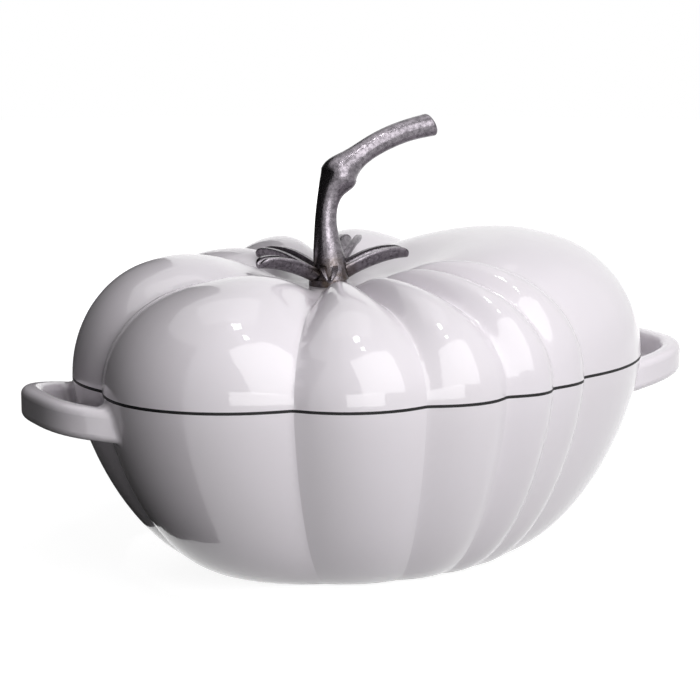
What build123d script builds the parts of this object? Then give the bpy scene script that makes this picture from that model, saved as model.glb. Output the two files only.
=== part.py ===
# A lobed cast iron pot with a lobed lid, two loop handles and a stem knob, in millimetres.
# The origin is on the stem's axis at the flat base, +Z is up and the handles lie along X.
import os
from math import atan2, cos, pi, radians, sin, sqrt

from build123d import *

os.makedirs("parts", exist_ok=True)

# Plan of the lobes, anticlockwise: where each crease is, how far it lies from the stem's axis
# at the rim, and how far the lobe that follows it swells outwards
crease_angles = [-179, -126, -92, -69, -54, -40, 37, 69, 100, 130]
crease_radii = [117, 101, 101, 107, 115, 122, 138, 114, 107, 107]
lobe_swells = [14, 5, 4, 4, 3, 36, 8, 8, 8, 8]
crease_radius = 3.5

# Rise of the lid above its edge, in the creases and on the lobes, and where each lobe is
# highest as a share of its radius
crease_rises = [45, 37, 39, 42, 46, 50, 50, 48, 49, 48]
lobe_rises = [51, 47, 48, 51, 54, 60.5, 57, 55, 52, 54]
lobe_crests = [0.48, 0.38, 0.40, 0.45, 0.50, 0.56, 0.44, 0.45, 0.43, 0.54]

# Pot: its iron rim, its wall and floor, and the flat oval that it stands on
rim_height = 90.0
pot_wall = 3.6
floor_thickness = 4.4
base_length = 136.0
base_width = 98.0
base_centre_x = 17.0
base_centre_y = -4.0
base_inset = 3.0
base_swell = 0.02
wall_belly = 1.39
wall_end = 1.44
wall_stages = 9

# Lid: its wall, the heavier wall at its edge, and the flat seat under the knob
lid_wall = 3.4
lid_edge_wall = 8.2
hub_rise = 39.3
hub_radius = 12.0
shoulder_power = 0.86
edge_taper = 8
dome_stages = [0, 0.12, 0.25, 0.4, 0.55, 0.7, 0.85, 1, 1.25, 1.5, 1.75, 2]
lip_depth = 5.0
lip_clearance = 1.0

# Black enamel inside both shells, folded over their edges
coat = 0.3
bond_gap = 0.05
band = 0.6
seam_gap = 0.2

# Loop handles, which rise a little towards their tips
handle_top = 85.2
handle_height = 15.0
handle_thickness = 9.6
handle_corner = 3.6
handle_span = 89.0
handle_line_y = 15.0
handle_lift = 0.15
handle_stations = 17
left_tip = 144.0
right_tip = 202.0
left_root = 88.0
right_root = 138.0
loop_power = 0.68
loop_end = 89.9
root_fillet = 4.0

# Knob: the calyx plate, and the stem, whose stations are distance along +X, height over the
# lid's seat, and radius. The joint between post and arm is a raised ring with a groove
calyx_radius = 9.0
calyx_thickness = 3.0
stem_post = [(1.2, 3, 8.8), (1.1, 7.5, 8.2), (0.7, 12, 7.6), (-0.3, 18, 6.7), (-0.9, 24.4, 5.8),
             (-1.1, 30.7, 5.2), (-0.5, 37.1, 5.1), (0.7, 42.1, 5.6), (2.8, 46.6, 7), (5.9, 52, 8.9)]
stem_arm = [(5.9, 52, 8.9), (9.7, 55.9, 7.3), (14.1, 59, 5.9), (20.8, 63.1, 5.3), (27.7, 66.4, 5.3),
            (34.6, 69, 5.3), (41.5, 71, 5.3), (48.3, 72.4, 5.4), (60, 73.8, 5.7)]
end_cut = (56, 73.4)
foot_lean = (0, 1)
joint_lean = (0.39, 0.92)
end_lean = (0.99, 0.08)
end_slant = (0.9, 0.43)
joint_groove = 0.6
end_corner = 1.2
stem_gap = 0.1

# Leaves: direction, reach from the axis, height of the tip over the seat, and size. A profile
# is share of a leaf's length, width, and height of its raised sides. The bud is a short leaf
# that stands against the stem's foot
leaves = [(-8, 39.8, 11.3, 1), (44, 41, 13.8, 1), (122, 38.5, 10.4, 0.95), (-178, 37, 10.5, 0.9)]
leaf_profile = [(0, 8.5, 6.4), (0.2, 10.5, 7), (0.45, 11.8, 7.2), (0.7, 11.4, 6.9), (0.86, 10.2, 6.1),
                (0.95, 8.6, 4.9), (1, 6.4, 3)]
leaf_arch = 1.8
bud = (-115, 16.5, 3.4, 1)
bud_profile = [(0, 8.5, 8), (0.35, 8.5, 7), (0.7, 6.4, 4.6), (1, 2.4, 1.4)]
bud_root = 2.4
leaf_root = 5.0
leaf_thickness = 2.4
leaf_floor = 0.2
leaf_belly = (0.8, 0.4)
leaf_gap = 0.4

# Screw and washers under the lid
screw_diameter = 6.0
screw_hole_clearance = 0.6
thread_gap = 0.05
thread_length = 13.0
bore_spare = 2.0
head_diameter = 11.5
head_height = 3.8
head_corner = 1.6
recess_length = 6.0
recess_width = 1.3
recess_depth = 2.0
washer_diameter = 18.0
washer_thickness = 1.5
spring_diameter = 11.0
spring_thickness = 1.6
spring_split = 1.2

# Heights worked out from the sizes above
lid_edge = rim_height + band + seam_gap
lid_iron = lid_edge + band
hub_height = lid_iron + hub_rise
under_hub = hub_height - lid_wall - bond_gap - coat
lobe_count = len(crease_angles)


def lobe_turn(lobe):
    return (crease_angles[(lobe + 1) % lobe_count] - crease_angles[lobe]) % 360


def softness(lobe):
    """How far the rounding of a crease runs into a lobe, as a share of half the lobe."""
    half_arc = radians(lobe_turn(lobe)) / 2 * crease_radii[lobe]
    return 2 * lobe_swells[lobe] * crease_radius / half_arc**2


def lobe_steps(lobe):
    """Shares of a lobe that its curve goes through, closer together beside the creases."""
    near = [k * softness(lobe) / 2 for k in (0, 0.4, 0.8, 1.3, 2, 3.2)]
    far = [near[-1] + (0.5 - near[-1]) * k for k in (0.3, 0.65)]
    return near + far + [0.5] + [1 - k for k in reversed(near + far)]


def between(values, lobe, share):
    """A crease value eased from one side of a lobe to the other."""
    ease = share * share * (3 - 2 * share)
    return values[lobe] * (1 - ease) + values[(lobe + 1) % lobe_count] * ease


def swell(lobe, share):
    """Nought in the creases, with a rounded valley, and one in the middle of a lobe."""
    soft = softness(lobe)
    inward = 1 - abs(2 * share - 1)
    inward = (sqrt(inward**2 + soft**2) - soft) / (sqrt(1 + soft**2) - soft)
    return 1 - (1 - inward) ** 2


def direction(lobe, share):
    """Angle round the stem's axis, in radians."""
    return radians(crease_angles[lobe] + lobe_turn(lobe) * share)


def rim_radius(lobe, share):
    return between(crease_radii, lobe, share) + lobe_swells[lobe] * swell(lobe, share)


def around(point):
    """A closed wire through point(lobe, share), one curve to a lobe."""
    edges = []
    for lobe in range(lobe_count):
        steps = lobe_steps(lobe)
        row = [point(lobe, share) for share in steps[:-1]] + [point((lobe + 1) % lobe_count, 0)]
        edges.append(Edge.make_spline(row, parameters=steps))
    return Wire(edges)


def outline(inset, height):
    """The rim's lobed outline, moved in towards the axis, at one height."""

    def point(lobe, share):
        radius = rim_radius(lobe, share) - inset
        angle = direction(lobe, share)
        return Vector(radius * cos(angle), radius * sin(angle), height)

    return around(point)


def bowl(wall, floor, narrower):
    """The pot's form from its floor to its rim, moved in by a wall."""

    def ring(turn):
        out = cos(turn)
        drop = (sin(turn) / sin(wall_end)) ** wall_belly
        height = floor + (rim_height - floor) * (1 - drop)

        def point(lobe, share):
            radius = rim_radius(lobe, share) - wall
            angle = direction(lobe, share)
            x, y = radius * cos(angle), radius * sin(angle)
            half_length, half_width = base_length / 2 - narrower, base_width / 2 - narrower
            side = atan2((y - base_centre_y) / half_width, (x - base_centre_x) / half_length)
            lobed = 1 + base_swell * (swell(lobe, share) - 0.5)
            foot_x = base_centre_x + half_length * lobed * cos(side)
            foot_y = base_centre_y + half_width * lobed * sin(side)
            return Vector(foot_x + (x - foot_x) * out, foot_y + (y - foot_y) * out, height)

        return around(point)

    return Solid.make_loft([ring(wall_end * k / (wall_stages - 1)) for k in range(wall_stages)])


def dome(wall, edge_wall):
    """The lid's form from its edge over the crests and down to the hub, moved in by a wall."""

    def ring(stage):
        turn = min(stage, 1) * pi / 2
        out = max(cos(turn), 0)
        fall = max(stage - 1, 0)
        inset = wall + (edge_wall - wall) * out**edge_taper

        def point(lobe, share):
            angle = direction(lobe, share)
            lift = swell(lobe, share)
            low = between(crease_rises, lobe, share)
            rise = low + (lobe_rises[lobe] - low) * lift
            sides = [(lobe_crests[k - 1] + lobe_crests[k]) / 2 for k in range(lobe_count)]
            crest = between(sides, lobe, share) * (1 - lift) + lobe_crests[lobe] * lift
            radius = rim_radius(lobe, share)
            if stage <= 1:
                r = (radius - inset) * (crest + (1 - crest) * out**shoulder_power)
                z = lid_iron + (rise - wall) * sin(turn)
            else:
                r = crest * (radius - wall) * (1 - fall) + hub_radius * fall
                z = hub_height - wall + (rise - hub_rise) * (cos(fall * pi) + 1) / 2
            return Vector(r * cos(angle), r * sin(angle), z)

        return around(point)

    return Solid.make_loft([ring(stage) for stage in dome_stages])


def lip_block(outside, inside, bottom, top):
    """An upright lobed ring between two outlines."""
    block = Solid.extrude(Face(outline(outside, bottom)), Vector(0, 0, top - bottom))
    return block - Solid.extrude(Face(outline(inside, bottom)), Vector(0, 0, top - bottom))


def loop_handle(side, root, tip):
    """A flat band bent into a loop that starts and ends inside the pot's wall."""
    reach = tip - root - handle_thickness / 2
    half = (handle_span - handle_thickness) / 2
    middle = handle_top - handle_height / 2

    def place(turn):
        out = cos(turn) ** loop_power
        y = half * abs(sin(turn)) ** loop_power
        z = middle + handle_lift * reach * (out - 0.5)
        return Vector(side * (root + reach * out), handle_line_y + (y if turn > 0 else -y), z)

    with BuildPart() as handle:
        for k in range(handle_stations):
            turn = radians(loop_end * (2 * k / (handle_stations - 1) - 1))
            run = place(turn + 0.001) - place(turn - 0.001)
            with BuildSketch(Plane(place(turn), x_dir=(0, 0, 1), z_dir=(run.X, run.Y, 0))):
                RectangleRounded(handle_height, handle_thickness, handle_corner)
        loft()
    return handle.part


def stem_plane(distance, height, lean):
    """A plane across the stem, where its centre line points along lean, given as (x, z)."""
    return Plane((distance, 0, hub_height + height), x_dir=(0, 1, 0), z_dir=(lean[0], 0, lean[1]))


def stem_length(stations, first, last, grow=0):
    """A round bar through the stations, with its ends facing first and last."""
    with BuildPart() as bar:
        for k, (distance, height, radius) in enumerate(stations):
            before = stations[max(k - 1, 0)]
            after = stations[min(k + 1, len(stations) - 1)]
            lean = (after[0] - before[0], after[1] - before[1])
            if k == 0:
                lean = first
            if k == len(stations) - 1:
                lean = last
            with BuildSketch(stem_plane(distance, height, lean)):
                Circle(radius + grow)
        loft()
    return bar.part


def root_edges(shape):
    """The short edges where the loops run into the wall."""
    low = handle_top - handle_height - handle_span * handle_lift - root_fillet
    short = handle_span / 4
    boxes = [(edge, edge.bounding_box()) for edge in shape.edges() if edge.length < short]
    return [edge for edge, box in boxes if box.min.Z > low and box.max.Z < rim_height - 0.1]


def leaf(profile, turn, reach, tip_height, size, root_height=leaf_floor):
    """A leaf that arches out from the calyx, with raised sides and a blunt end."""
    heading = Vector(cos(radians(turn)), sin(radians(turn)), 0)
    up = Vector(0, 0, 1)
    climb = tip_height - root_height
    with BuildPart() as blade:
        for share, width, side in profile:
            half, top = size * width / 2, size * side
            skin = min(size * leaf_thickness, half / 2)
            rise = root_height + climb * (1 - (1 - share) ** leaf_arch)
            steep = climb * leaf_arch * (1 - share) ** (leaf_arch - 1)
            place = heading * (leaf_root + (reach - leaf_root) * share) + up * (hub_height + rise)
            along = heading * (reach - leaf_root) + up * steep
            cheek, cheek_top = half * leaf_belly[0], top * leaf_belly[1]
            inner, floor = (half - skin) * leaf_belly[0], skin + (top - skin) * leaf_belly[1]
            back = [(-half, top), (-cheek, cheek_top), (0, 0), (cheek, cheek_top), (half, top)]
            face = [(half - skin, top), (inner, floor), (0, skin), (-inner, floor), (skin - half, top)]
            with BuildSketch(Plane(place, x_dir=up.cross(heading), z_dir=along)):
                with BuildLine():
                    Spline(*back)
                    Line((half, top), (half - skin, top))
                    Spline(*face)
                    Line((skin - half, top), (-half, top))
                make_face()
        loft()
    return blade.part


left_loop = loop_handle(-1, left_root, left_tip)
right_loop = loop_handle(1, right_root, right_tip)
pot_outside = bowl(0, 0, 0)
pot_inside = bowl(pot_wall, floor_thickness, base_inset)
with BuildPart() as pot_casting:
    add(pot_outside)
    add(left_loop)
    add(right_loop)
    fillet(root_edges(pot_casting.part), root_fillet)
    add(pot_inside, mode=Mode.SUBTRACT)
pot_casting.part.label = "pot_casting"

# Black enamel inside the pot, folded over its rim
pot_coat_back = bowl(pot_wall + bond_gap, floor_thickness + bond_gap, base_inset + bond_gap)
lining = bond_gap + coat
pot_coat_face = bowl(pot_wall + lining, floor_thickness + lining, base_inset + lining)
pot_rim_band = lip_block(0, pot_wall + lining, rim_height, rim_height + band)
with BuildPart() as pot_lining:
    add(pot_coat_back)
    add(pot_coat_face, mode=Mode.SUBTRACT)
    add(pot_rim_band)
pot_lining.part.label = "pot_lining"

# Lid: the lobed dome and the lip that drops inside the pot's rim
lip_outside = pot_wall + lining + lip_clearance
lip_foot = lid_edge - lip_depth
lip_iron = lip_block(lip_outside + lining, lid_edge_wall, lip_foot + lining, lid_iron + lid_wall)
lid_outside = dome(0, 0)
lid_inside = dome(lid_wall, lid_edge_wall)
hub_hole = Cylinder(screw_diameter / 2 + screw_hole_clearance / 2, 4 * lid_wall)
hub_hole = Pos(0, 0, hub_height) * hub_hole
with BuildPart() as lid_casting:
    add(lid_outside)
    add(lid_inside, mode=Mode.SUBTRACT)
    add(lip_iron)
    add(hub_hole, mode=Mode.SUBTRACT)
lid_casting.part.label = "lid_casting"

# Black enamel inside the lid, round its lip and over its edge
lid_coat_back = dome(lid_wall + bond_gap, lid_edge_wall + bond_gap)
lid_coat_face = dome(lid_wall + lining, lid_edge_wall + lining)
lid_rim_band = lip_block(0, lid_edge_wall + lining, lid_edge, lid_iron)
lip_coat = lip_block(lip_outside, lid_edge_wall + lining, lip_foot, lid_iron)
lip_room = lip_block(lip_outside + coat, lid_edge_wall + bond_gap, lip_foot + coat, lid_iron + lid_wall)
with BuildPart() as lid_lining:
    add(lid_coat_back)
    add(lid_coat_face, mode=Mode.SUBTRACT)
    add(lid_rim_band)
    add(lip_coat)
    add(lip_room, mode=Mode.SUBTRACT)
    add(hub_hole, mode=Mode.SUBTRACT)
lid_lining.part.label = "lid_lining"

# Stem: an upright post, a grooved joint and an arm, with a blind threaded hole in its foot
post = stem_length(stem_post, foot_lean, joint_lean)
arm = stem_length(stem_arm, joint_lean, end_lean)
groove = stem_plane(*stem_arm[0][:2], joint_lean) * Torus(stem_arm[0][2], joint_groove)
bore = Pos(0, 0, hub_height) * Cylinder(
    screw_diameter / 2 + thread_gap,
    calyx_thickness + thread_length + bore_spare,
    align=(Align.CENTER, Align.CENTER, Align.MIN),
)
with BuildPart() as stem:
    add(post)
    add(arm)
    split(bisect_by=stem_plane(*end_cut, end_slant), keep=Keep.BOTTOM)
    fillet(stem.faces().sort_by(Axis.X)[-1].edges(), end_corner)
    add(groove, mode=Mode.SUBTRACT)
    add(bore, mode=Mode.SUBTRACT)
stem.part.label = "stem"

# Calyx: a plate clamped under the stem, with leaves that arch out over the lid
over_lid = dome(-leaf_gap, -leaf_gap)
blades = [leaf(leaf_profile, *row) - over_lid for row in leaves]
blades.append(leaf(bud_profile, *bud, bud_root) - over_lid)
stem_room = stem_length(stem_post, foot_lean, joint_lean, grow=stem_gap)
with BuildPart() as calyx:
    with BuildSketch(Plane.XY.offset(hub_height)):
        Circle(calyx_radius)
    extrude(amount=calyx_thickness)
    add(blades)
    add(stem_room, mode=Mode.SUBTRACT)
    add(hub_hole, mode=Mode.SUBTRACT)
calyx.part.label = "calyx"

# Flat washer against the lid's lining, and a split spring washer under the screw's head
with BuildPart() as lid_washer:
    with BuildSketch(Plane.XY.offset(under_hub)):
        Circle(washer_diameter / 2)
        Circle((screw_diameter + screw_hole_clearance) / 2, mode=Mode.SUBTRACT)
    extrude(amount=-washer_thickness)
lid_washer.part.label = "lid_washer"

with BuildPart() as spring_washer:
    with BuildSketch(Plane.XY.offset(under_hub - washer_thickness)):
        Circle(spring_diameter / 2)
        Circle((screw_diameter + screw_hole_clearance) / 2, mode=Mode.SUBTRACT)
        with Locations((spring_diameter / 2, 0)):
            Rectangle(spring_diameter, spring_split, mode=Mode.SUBTRACT)
    extrude(amount=-spring_thickness)
spring_washer.part.label = "spring_washer"

# Screw: a rounded head with a cross recess, and a shank that runs up into the stem
head_seat = under_hub - washer_thickness - spring_thickness
with BuildPart() as knob_screw:
    with BuildSketch(Plane.XY.offset(head_seat)):
        Circle(head_diameter / 2)
    extrude(amount=-head_height)
    fillet(knob_screw.edges().sort_by(Axis.Z)[0], head_corner)
    with BuildSketch(Plane.XY.offset(head_seat - head_height)):
        Rectangle(recess_length, recess_width)
        Rectangle(recess_width, recess_length)
    extrude(amount=recess_depth, mode=Mode.SUBTRACT)
    with BuildSketch(Plane.XY.offset(head_seat)):
        Circle(screw_diameter / 2)
    extrude(amount=hub_height + calyx_thickness + thread_length - head_seat)
knob_screw.part.label = "knob_screw"

castings = (pot_casting, pot_lining, lid_casting, lid_lining)
fittings = (calyx, stem, lid_washer, spring_washer, knob_screw)
for piece in castings + fittings:
    export_step(piece.part, f"parts/{piece.part.label}.step")
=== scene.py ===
from math import cos, radians, sin, tau

import bpy
import bmesh
from mathutils import Matrix, Vector

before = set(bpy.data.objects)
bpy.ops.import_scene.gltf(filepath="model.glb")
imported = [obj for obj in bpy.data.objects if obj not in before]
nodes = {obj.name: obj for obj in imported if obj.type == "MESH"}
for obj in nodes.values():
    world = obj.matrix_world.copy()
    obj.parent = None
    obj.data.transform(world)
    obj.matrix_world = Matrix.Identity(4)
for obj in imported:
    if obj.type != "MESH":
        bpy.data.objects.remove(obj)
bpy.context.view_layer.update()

scene = bpy.context.scene


# Small helpers for node trees
def newMaterial(name):
    material = bpy.data.materials.new(name)
    material.use_nodes = True
    return material, material.node_tree


def newGroup(name, inputs, outputs):
    tree = bpy.data.node_groups.new(name, "ShaderNodeTree")
    for label, kind, value in inputs:
        made = tree.interface.new_socket(name=label, in_out="INPUT", socket_type=kind)
        if value is not None:
            made.default_value = value
    for label, kind in outputs:
        tree.interface.new_socket(name=label, in_out="OUTPUT", socket_type=kind)
    return tree, tree.nodes.new("NodeGroupInput"), tree.nodes.new("NodeGroupOutput")


def put(tree, kind, inputs=None, **settings):
    node = tree.nodes.new(kind)
    for key, value in settings.items():
        setattr(node, key, value)
    for key, value in (inputs or {}).items():
        if isinstance(value, bpy.types.NodeSocket):
            tree.links.new(value, node.inputs[key])
        else:
            node.inputs[key].default_value = value
    return node


def maths(tree, operation, first, second=None, third=None, clamp=False):
    inputs = {key: value for key, value in enumerate((first, second, third)) if value is not None}
    return put(tree, "ShaderNodeMath", inputs, operation=operation, use_clamp=clamp).outputs[0]


def spread(tree, value, low, high, toLow=0.0, toHigh=1.0):
    # a value between low and high, moved to the other range and held there
    inputs = {"Value": value, "From Min": low, "From Max": high, "To Min": toLow, "To Max": toHigh}
    return put(tree, "ShaderNodeMapRange", inputs).outputs["Result"]


def blendColours(tree, factor, first, second):
    mixer = put(tree, "ShaderNodeMix", data_type="RGBA")
    # of a colour Mix node's sockets, 6 and 7 are the two colours
    for key, value in (("Factor", factor), (6, first), (7, second)):
        socket = mixer.inputs[key]
        if isinstance(value, bpy.types.NodeSocket):
            tree.links.new(value, socket)
        else:
            socket.default_value = value
    return mixer.outputs[2]


def noise(tree, vector, scale, detail=2.0, roughness=0.5):
    inputs = {"Vector": vector, "Scale": scale, "Detail": detail, "Roughness": roughness}
    return put(tree, "ShaderNodeTexNoise", inputs).outputs["Fac"]


def effect(tree, group, inputs):
    node = tree.nodes.new("ShaderNodeGroup")
    node.node_tree = group
    for key, value in inputs.items():
        if isinstance(value, bpy.types.NodeSocket):
            tree.links.new(value, node.inputs[key])
        else:
            node.inputs[key].default_value = value
    return node


def objectPlace(tree):
    return tree.nodes.new("ShaderNodeTexCoord").outputs["Object"]


def bump(tree, height):
    # heights are in metres
    inputs = {"Height": height, "Strength": 1.0, "Distance": 1.0}
    return put(tree, "ShaderNodeBump", inputs).outputs["Normal"]


def dress(names, material):
    for name in names:
        mesh = nodes[name].data
        mesh.materials.clear()
        mesh.materials.append(material)


# Effects that several finishes use
castLook = {"waveDetail": 1.5, "peelDetail": 1.0, "mottleShare": 0.3, "mottleDetail": 4.0, "mottleRoughness": 0.6}
castSurface, groupIn, groupOut = newGroup(
    "castSurface",
    [("Vector", "NodeSocketVector", None), ("Wave Size", "NodeSocketFloat", 0.016),
     ("Wave Depth", "NodeSocketFloat", 0.00004), ("Peel Size", "NodeSocketFloat", 0.0015),
     ("Peel Depth", "NodeSocketFloat", 0.000002)],
    [("Height", "NodeSocketFloat"), ("Mottle", "NodeSocketFloat")],
)
waves = noise(castSurface, groupIn.outputs["Vector"],
              maths(castSurface, "DIVIDE", 1.0, groupIn.outputs["Wave Size"]), castLook["waveDetail"])
peel = noise(castSurface, groupIn.outputs["Vector"],
             maths(castSurface, "DIVIDE", 1.0, groupIn.outputs["Peel Size"]), castLook["peelDetail"])
mottle = noise(castSurface, groupIn.outputs["Vector"],
               maths(castSurface, "DIVIDE", castLook["mottleShare"], groupIn.outputs["Wave Size"]),
               castLook["mottleDetail"], castLook["mottleRoughness"])
waveHeight = maths(castSurface, "MULTIPLY", waves, groupIn.outputs["Wave Depth"])
castHeight = maths(castSurface, "MULTIPLY_ADD", peel, groupIn.outputs["Peel Depth"], waveHeight)
castSurface.links.new(castHeight, groupOut.inputs["Height"])
castSurface.links.new(mottle, groupOut.inputs["Mottle"])

grainLook = {
    "detail": 3.0,
    "roughness": 0.7,
    "pitShare": 0.55,  # scale of the pits beside the grain's
    "pitEdges": (0.1, 0.34),
    "pitHeight": 0.5,
    "toneShare": 0.3,
    "toneDetail": 4.0,
    "toneRoughness": 0.65,
}
metalGrain, groupIn, groupOut = newGroup(
    "metalGrain",
    [("Vector", "NodeSocketVector", None), ("Grain Size", "NodeSocketFloat", 0.0008),
     ("Grain Depth", "NodeSocketFloat", 0.00002)],
    [("Height", "NodeSocketFloat"), ("Tone", "NodeSocketFloat"), ("Pits", "NodeSocketFloat")],
)
grainScale = maths(metalGrain, "DIVIDE", 1.0, groupIn.outputs["Grain Size"])
grain = noise(metalGrain, groupIn.outputs["Vector"], grainScale, grainLook["detail"], grainLook["roughness"])
cells = put(metalGrain, "ShaderNodeTexVoronoi", {
    "Vector": groupIn.outputs["Vector"],
    "Scale": maths(metalGrain, "MULTIPLY", grainScale, grainLook["pitShare"])})
pits = spread(metalGrain, cells.outputs["Distance"], *grainLook["pitEdges"])
tone = noise(metalGrain, groupIn.outputs["Vector"],
             maths(metalGrain, "MULTIPLY", grainScale, grainLook["toneShare"]),
             grainLook["toneDetail"], grainLook["toneRoughness"])
grainLevel = maths(metalGrain, "MULTIPLY_ADD", pits, grainLook["pitHeight"], grain)
grainHeight = maths(metalGrain, "MULTIPLY", grainLevel, groupIn.outputs["Grain Depth"])
metalGrain.links.new(grainHeight, groupOut.inputs["Height"])
metalGrain.links.new(tone, groupOut.inputs["Tone"])
metalGrain.links.new(pits, groupOut.inputs["Pits"])

nearPoint, groupIn, groupOut = newGroup(
    "nearPoint",
    [("Vector", "NodeSocketVector", None), ("Centre", "NodeSocketVector", None),
     ("Inner", "NodeSocketFloat", 0.01), ("Outer", "NodeSocketFloat", 0.03)],
    [("Mask", "NodeSocketFloat")],
)
gapLength = put(nearPoint, "ShaderNodeVectorMath",
                {0: groupIn.outputs["Vector"], 1: groupIn.outputs["Centre"]}, operation="DISTANCE")
nearness = spread(nearPoint, gapLength.outputs["Value"], groupIn.outputs["Inner"],
                  groupIn.outputs["Outer"], 1.0, 0.0)
nearPoint.links.new(nearness, groupOut.inputs["Mask"])
print("stage: shared effects made")


mottleEdges = (0.3, 0.7)  # the part of the mottling over which both enamels' roughness changes

# White enamel on the outside of both castings
enamelLook = {
    "colour": (0.80, 0.757, 0.806, 1),
    "thin": (0.70, 0.655, 0.66, 1),  # where the coat is thinner the iron greys it
    "thinMost": 0.16,
    "thinEdges": (0.35, 0.75),
    "foot": (0.10, 0.095, 0.095, 1),  # bare iron on the ring that the pot stands on
    "footTop": 0.0008,
    "footBlend": 0.0002,
    "raggedScale": 260.0,
    "raggedDetail": 3.0,
    "raggedDepth": 0.0008,
    "waveSize": 0.017,
    "waveDepth": 0.00007,
    "peelSize": 0.0016,
    "peelDepth": 0.0000016,
    "underCoat": 0.32,
    "underCoatSwing": 0.04,
    "coatRoughness": 0.045,
    "coatIor": 1.5,
    "underIor": 1.3,
}
whiteEnamel, tree = newMaterial("whiteEnamel")
shader = tree.nodes["Principled BSDF"]
place = objectPlace(tree)
cast = effect(tree, castSurface, {
    "Vector": place, "Wave Size": enamelLook["waveSize"], "Wave Depth": enamelLook["waveDepth"],
    "Peel Size": enamelLook["peelSize"], "Peel Depth": enamelLook["peelDepth"]})
tint = spread(tree, cast.outputs["Mottle"], *enamelLook["thinEdges"], 0.0, enamelLook["thinMost"])
enamelColour = blendColours(tree, tint, enamelLook["colour"], enamelLook["thin"])
height = put(tree, "ShaderNodeSeparateXYZ", {"Vector": place}).outputs["Z"]
ragged = maths(tree, "MULTIPLY_ADD", noise(tree, place, enamelLook["raggedScale"], enamelLook["raggedDetail"]),
               enamelLook["raggedDepth"], -enamelLook["raggedDepth"] / 2)
bareFoot = spread(tree, maths(tree, "ADD", height, ragged), enamelLook["footTop"],
                  enamelLook["footTop"] + enamelLook["footBlend"], 1.0, 0.0)
enamelColour = blendColours(tree, bareFoot, enamelColour, enamelLook["foot"])
tree.links.new(enamelColour, shader.inputs["Base Color"])
tree.links.new(maths(tree, "SUBTRACT", 1.0, bareFoot), shader.inputs["Coat Weight"])
tree.links.new(spread(tree, cast.outputs["Mottle"], *mottleEdges,
                      enamelLook["underCoat"] - enamelLook["underCoatSwing"],
                      enamelLook["underCoat"] + enamelLook["underCoatSwing"]), shader.inputs["Roughness"])
tree.links.new(bump(tree, cast.outputs["Height"]), shader.inputs["Normal"])
tree.links.new(bump(tree, cast.outputs["Height"]), shader.inputs["Coat Normal"])
shader.inputs["Coat Roughness"].default_value = enamelLook["coatRoughness"]
shader.inputs["Coat IOR"].default_value = enamelLook["coatIor"]
shader.inputs["IOR"].default_value = enamelLook["underIor"]
dress(["pot_casting", "lid_casting"], whiteEnamel)

# Matte black enamel inside, folded over both rims
liningLook = {
    "colour": (0.010, 0.0095, 0.0105, 1),
    "worn": (0.022, 0.021, 0.022, 1),
    "wornEdges": (0.4, 0.75),
    "roughness": 0.5,
    "roughnessSwing": 0.07,
    "shine": 0.3,
    "waveSize": 0.012,
    "waveDepth": 0.00004,
    "peelSize": 0.0007,
    "peelDepth": 0.000012,
}
blackEnamel, tree = newMaterial("blackEnamel")
shader = tree.nodes["Principled BSDF"]
place = objectPlace(tree)
cast = effect(tree, castSurface, {
    "Vector": place, "Wave Size": liningLook["waveSize"], "Wave Depth": liningLook["waveDepth"],
    "Peel Size": liningLook["peelSize"], "Peel Depth": liningLook["peelDepth"]})
patches = spread(tree, cast.outputs["Mottle"], *liningLook["wornEdges"])
liningColour = blendColours(tree, patches, liningLook["colour"], liningLook["worn"])
tree.links.new(liningColour, shader.inputs["Base Color"])
tree.links.new(spread(tree, cast.outputs["Mottle"], *mottleEdges,
                      liningLook["roughness"] - liningLook["roughnessSwing"],
                      liningLook["roughness"] + liningLook["roughnessSwing"]), shader.inputs["Roughness"])
tree.links.new(bump(tree, cast.outputs["Height"]), shader.inputs["Normal"])
shader.inputs["Specular IOR Level"].default_value = liningLook["shine"]
dress(["pot_lining", "lid_lining"], blackEnamel)
print("stage: enamels made")


# Dark cast metal of the stem and its leaves
metalLook = {
    "colour": (0.23, 0.21, 0.232, 1),
    "dark": (0.085, 0.077, 0.087, 1),
    "toneEdges": (0.3, 0.6),
    "pitShade": 0.5,
    "rootBrown": (0.09, 0.07, 0.058, 1),  # a brown that darkens the metal near the stem's foot
    "rootBrownScale": 210.0,
    "rootBrownDetail": 4.0,
    "rootBrownEdges": (0.3, 0.62),
    "root": (0.0, 0.0, 0.132),
    "rootInner": 0.010,
    "rootOuter": 0.018,
    "grainSize": 0.0006,
    "grainDepth": 0.00005,
    "roughness": (0.17, 0.30),
    "roughnessEdges": (0.35, 0.7),
}
knobMetal, tree = newMaterial("knobMetal")
shader = tree.nodes["Principled BSDF"]
place = objectPlace(tree)
grain = effect(tree, metalGrain, {
    "Vector": place, "Grain Size": metalLook["grainSize"], "Grain Depth": metalLook["grainDepth"]})
rootMask = effect(tree, nearPoint, {
    "Vector": place, "Centre": metalLook["root"], "Inner": metalLook["rootInner"],
    "Outer": metalLook["rootOuter"]}).outputs["Mask"]
toneMask = spread(tree, grain.outputs["Tone"], *metalLook["toneEdges"])
metalColour = blendColours(tree, toneMask, metalLook["dark"], metalLook["colour"])
pitMask = spread(tree, grain.outputs["Pits"], 0.0, 1.0, metalLook["pitShade"], 0.0)
metalColour = blendColours(tree, pitMask, metalColour, metalLook["dark"])
# blotchy brown darkening, strongest near the stem's foot and gone by the outer radius
blotches = noise(tree, place, metalLook["rootBrownScale"], metalLook["rootBrownDetail"])
rootBrownShare = maths(tree, "MULTIPLY", rootMask, spread(tree, blotches, *metalLook["rootBrownEdges"]), clamp=True)
metalColour = blendColours(tree, rootBrownShare, metalColour, metalLook["rootBrown"])
tree.links.new(metalColour, shader.inputs["Base Color"])
smooth, rough = metalLook["roughness"]
tree.links.new(spread(tree, grain.outputs["Tone"], *metalLook["roughnessEdges"], rough, smooth),
               shader.inputs["Roughness"])
tree.links.new(bump(tree, grain.outputs["Height"]), shader.inputs["Normal"])
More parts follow.
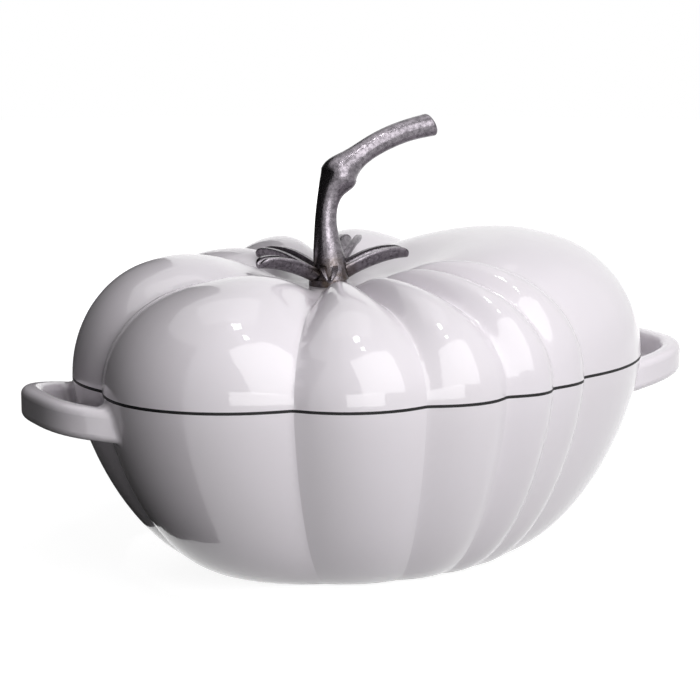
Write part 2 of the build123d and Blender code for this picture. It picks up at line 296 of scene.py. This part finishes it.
shader.inputs["Metallic"].default_value = 1.0
dress(["stem", "calyx"], knobMetal)

# Bright steel of the screw and washers, with faint turning rings
steelLook = {
    "colour": (0.58, 0.57, 0.56, 1),
    "dull": (0.34, 0.33, 0.32, 1),
    "ringSize": 0.0007,
    "ringDepth": 0.000006,
    "smearScale": 420.0,
    "smearDetail": 4.0,
    "smearEdges": (0.35, 0.7),
    "roughness": 0.28,
    "smearRoughness": 0.42,
}
fastenerSteel, tree = newMaterial("fastenerSteel")
shader = tree.nodes["Principled BSDF"]
place = objectPlace(tree)
flat = put(tree, "ShaderNodeVectorMath", {0: place, 1: (1, 1, 0)}, operation="MULTIPLY").outputs[0]
radius = put(tree, "ShaderNodeVectorMath", {0: flat}, operation="LENGTH").outputs["Value"]
rings = maths(tree, "SINE", maths(tree, "MULTIPLY", radius, tau / steelLook["ringSize"]))
smears = spread(tree, noise(tree, place, steelLook["smearScale"], steelLook["smearDetail"]),
                *steelLook["smearEdges"])
steelColour = blendColours(tree, smears, steelLook["colour"], steelLook["dull"])
tree.links.new(steelColour, shader.inputs["Base Color"])
tree.links.new(spread(tree, smears, 0.0, 1.0, steelLook["roughness"], steelLook["smearRoughness"]),
               shader.inputs["Roughness"])
ringHeight = maths(tree, "MULTIPLY", rings, steelLook["ringDepth"])
tree.links.new(bump(tree, ringHeight), shader.inputs["Normal"])
shader.inputs["Metallic"].default_value = 1.0
dress(["lid_washer", "spring_washer", "knob_screw"], fastenerSteel)
print("stage: metals made")


def seenOrMirrored(tree):
    # 1 where the camera sees the surface or gloss or glass shows it, otherwise 0
    path = tree.nodes.new("ShaderNodeLightPath")
    seen = maths(tree, "MAXIMUM", path.outputs["Is Camera Ray"], path.outputs["Is Glossy Ray"])
    return maths(tree, "MAXIMUM", seen, path.outputs["Is Transmission Ray"])


# Floor: a pale disc that shows the backdrop's white and keeps the pot's shadow
floorLook = {
    "radius": 2.4,
    "corners": 96,
    "colour": (0.27, 0.27, 0.27, 1),
    "roughness": 0.9,
    "shine": 0.1,
    "nearGlow": 0.90,
    "farGlow": 1.0,
    "nearEdge": 0.28,
    "farEdge": 1.1,
}
floorMesh = bpy.data.meshes.new("floor")
bm = bmesh.new()
bmesh.ops.create_circle(bm, cap_ends=True, segments=floorLook["corners"], radius=floorLook["radius"])
bm.to_mesh(floorMesh)
bm.free()
floor = bpy.data.objects.new("floor", floorMesh)
scene.collection.objects.link(floor)
floorPaint, tree = newMaterial("floorPaint")
shader = tree.nodes["Principled BSDF"]
shader.inputs["Base Color"].default_value = floorLook["colour"]
shader.inputs["Roughness"].default_value = floorLook["roughness"]
shader.inputs["Specular IOR Level"].default_value = floorLook["shine"]
shader.inputs["Emission Color"].default_value = (1, 1, 1, 1)
place = objectPlace(tree)
away = put(tree, "ShaderNodeVectorMath", {0: place}, operation="LENGTH").outputs["Value"]
glow = spread(tree, away, floorLook["nearEdge"], floorLook["farEdge"],
              floorLook["nearGlow"], floorLook["farGlow"])
tree.links.new(maths(tree, "MULTIPLY", glow, seenOrMirrored(tree)), shader.inputs["Emission Strength"])
floorMesh.materials.append(floorPaint)

# Backdrop: white where it is seen or mirrored, dim as a light
studioFill = 0.08
studio = bpy.data.worlds.new("studio")
scene.world = studio
studio.use_nodes = True
tree = studio.node_tree
background = tree.nodes["Background"]
background.inputs["Color"].default_value = (1, 1, 1, 1)
backdropStrength = spread(tree, seenOrMirrored(tree), 0.0, 1.0, studioFill, 1.0)
tree.links.new(backdropStrength, background.inputs["Strength"])
print("stage: floor and backdrop made")


# Lamps. A turn is counted to the right from where the camera stands
studioLook = {
    "cameraTurn": -118.0,
    "aim": (0.02, 0, 0.09),
    "lamps": {
        "keyBox": {"turn": 41, "rise": 36, "distance": 1.4, "size": (1.25, 1.2), "power": 13.5},
        "frontBox": {"turn": 20, "rise": 3, "distance": 1.3, "size": (0.9, 0.5), "power": 5.0},
        "sideBox": {"turn": 102, "rise": 34, "distance": 1.5, "size": (1.2, 1.1), "power": 0.5},
        "topBox": {"turn": 180, "rise": 82, "distance": 1.25, "size": (0.9, 0.7), "power": 1.5},
        "topSpot": {"turn": 30, "rise": 76, "distance": 1.2, "size": (0.12, 0.12), "power": 1.0},
        "sideSpot": {"turn": 35, "rise": 64, "distance": 1.2, "size": (0.07, 0.07), "power": 0.35},
        # lights the far side alone, so it is neither seen nor mirrored
        "backBox": {"turn": -168, "rise": 20, "distance": 1.5, "size": (1.4, 0.9), "power": 17.0, "hidden": True},
    },
}


def studioPoint(turn, rise, distance):
    angle = radians(studioLook["cameraTurn"] + turn)
    flatPart = distance * cos(radians(rise))
    return Vector((flatPart * cos(angle), flatPart * sin(angle), distance * sin(radians(rise))))


for name, row in studioLook["lamps"].items():
    lamp = bpy.data.lights.new(name, "AREA")
    lamp.shape = "RECTANGLE"
    lamp.size, lamp.size_y = row["size"]
    lamp.energy = row["power"]
    lampObject = bpy.data.objects.new(name, lamp)
    lampObject.location = studioPoint(row["turn"], row["rise"], row["distance"])
    look = Vector(studioLook["aim"]) - lampObject.location
    lampObject.rotation_euler = look.to_track_quat("-Z", "Y").to_euler()
    scene.collection.objects.link(lampObject)
    if row.get("hidden"):
        lampObject.visible_camera = False
        lampObject.visible_glossy = False

# Black cards at the left, standing and lying, that darken the gloss there as in a product studio.
# The camera doesn't see them and they cast no shadow
cardLook = {
    "turns": (-165, -135, -105, -75, -48, -34),
    "near": 0.10,
    "far": 0.66,
    "height": 0.85,
    "aboveFloor": 0.002,
    "colour": (0.02, 0.02, 0.02, 1),
}
cardPaint, tree = newMaterial("cardPaint")
shader = tree.nodes["Principled BSDF"]
shader.inputs["Base Color"].default_value = cardLook["colour"]
shader.inputs["Roughness"].default_value = 1.0


def blackCard(name, start, shift):
    # a strip drawn out from a bent line on the floor
    cardMesh = bpy.data.meshes.new(name)
    bm = bmesh.new()
    foot = [bm.verts.new(studioPoint(turn, 0, start)) for turn in cardLook["turns"]]
    edges = [bm.edges.new(pair) for pair in zip(foot, foot[1:])]
    grown = bmesh.ops.extrude_edge_only(bm, edges=edges)
    for vert in (part for part in grown["geom"] if isinstance(part, bmesh.types.BMVert)):
        vert.co = shift(vert.co)
    bm.to_mesh(cardMesh)
    bm.free()
    cardMesh.materials.append(cardPaint)
    card = bpy.data.objects.new(name, cardMesh)
    scene.collection.objects.link(card)
    card.visible_camera = False
    card.visible_shadow = False
    return card


upward = Vector((0, 0, cardLook["height"]))
blackCard("standingCard", cardLook["far"], lambda spot: spot + upward)
outward = cardLook["far"] / cardLook["near"]
lyingCard = blackCard("lyingCard", cardLook["near"], lambda spot: spot * outward)
lyingCard.data.transform(Matrix.Translation((0, 0, cardLook["aboveFloor"])))
print("stage: lamps and cards placed")


# Camera
cameraLook = {
    "place": (-0.52233, -1.00454, 0.30916),
    "aim": (-0.01456, -0.04956, 0.1087),
    "lens": 124.46,
    "sensor": 36,
}
cameraData = bpy.data.cameras.new("camera")
camera = bpy.data.objects.new("camera", cameraData)
scene.collection.objects.link(camera)
camera.location = cameraLook["place"]
sight = Vector(cameraLook["aim"]) - Vector(cameraLook["place"])
camera.rotation_euler = sight.to_track_quat("-Z", "Y").to_euler()
cameraData.lens = cameraLook["lens"]
cameraData.sensor_width = cameraLook["sensor"]
scene.camera = camera
scene.view_settings.view_transform = "Standard"
print("stage: camera set")
